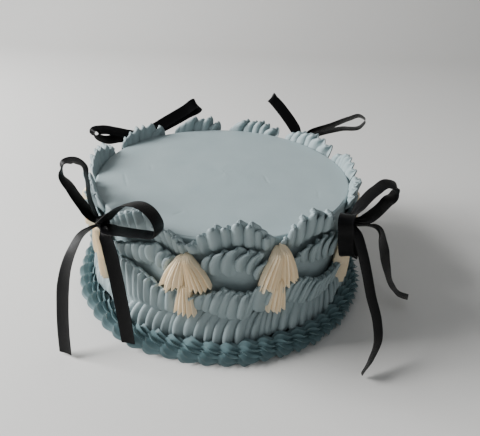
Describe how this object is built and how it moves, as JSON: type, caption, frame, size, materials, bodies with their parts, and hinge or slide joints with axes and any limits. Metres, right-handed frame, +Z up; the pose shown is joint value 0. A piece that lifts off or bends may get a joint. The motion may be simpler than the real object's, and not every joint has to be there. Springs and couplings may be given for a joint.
{
  "type": "lambeth cake",
  "caption": "Round iced layer cake with piped ruffled frills, swags and shells, ivory piped tassels and black ribbon bows round its rim.",
  "frame": {"origin": "centre of the cake's flat underside", "axes": "+Z up through the middle of the cake, -Y towards the side shown in the picture"},
  "size_m": [0.2644, 0.2461, 0.1191],
  "materials": {
    "blue_buttercream": "dusty blue buttercream, smoothed on top, soft and barely glossy",
    "teal_buttercream": "deeper dusty teal buttercream, piped with a star tip",
    "ivory_buttercream": "ivory buttercream, piped with a star tip",
    "black_satin_ribbon": "black polyester satin ribbon with a soft sheen"
  },
  "bodies": {
    "root": {"bow_back_left": "black_satin_ribbon", "bow_back_right": "black_satin_ribbon", "bow_front_left": "black_satin_ribbon", "bow_front_right": "black_satin_ribbon", "iced_cake": "blue_buttercream", "lower_swags": "blue_buttercream", "second_frill_01": "blue_buttercream", "second_frill_02": "blue_buttercream", "second_frill_03": "blue_buttercream", "second_frill_04": "blue_buttercream", "second_frill_05": "blue_buttercream", "second_frill_06": "blue_buttercream", "second_frill_07": "blue_buttercream", "second_frill_08": "blue_buttercream", "second_frill_09": "blue_buttercream", "second_frill_10": "blue_buttercream", "second_frill_11": "blue_buttercream", "shell_border": "teal_buttercream", "tassel_01": "ivory_buttercream", "tassel_02": "ivory_buttercream", "tassel_03": "ivory_buttercream", "tassel_04": "ivory_buttercream", "tassel_05": "ivory_buttercream", "tassel_06": "ivory_buttercream", "tassel_07": "ivory_buttercream", "tassel_08": "ivory_buttercream", "tassel_09": "ivory_buttercream", "tassel_10": "ivory_buttercream", "tassel_11": "ivory_buttercream", "top_frill_01": "blue_buttercream", "top_frill_02": "blue_buttercream", "top_frill_03": "blue_buttercream", "top_frill_04": "blue_buttercream", "top_frill_05": "blue_buttercream", "top_frill_06": "blue_buttercream", "top_frill_07": "blue_buttercream", "top_frill_08": "blue_buttercream", "top_frill_09": "blue_buttercream", "top_frill_10": "blue_buttercream", "top_frill_11": "blue_buttercream", "upper_swag_01": "blue_buttercream", "upper_swag_02": "blue_buttercream", "upper_swag_03": "blue_buttercream", "upper_swag_04": "blue_buttercream", "upper_swag_05": "blue_buttercream", "upper_swag_06": "blue_buttercream", "upper_swag_07": "blue_buttercream", "upper_swag_08": "blue_buttercream", "upper_swag_09": "blue_buttercream", "upper_swag_10": "blue_buttercream", "upper_swag_11": "blue_buttercream"}
  },
  "joints": []
}
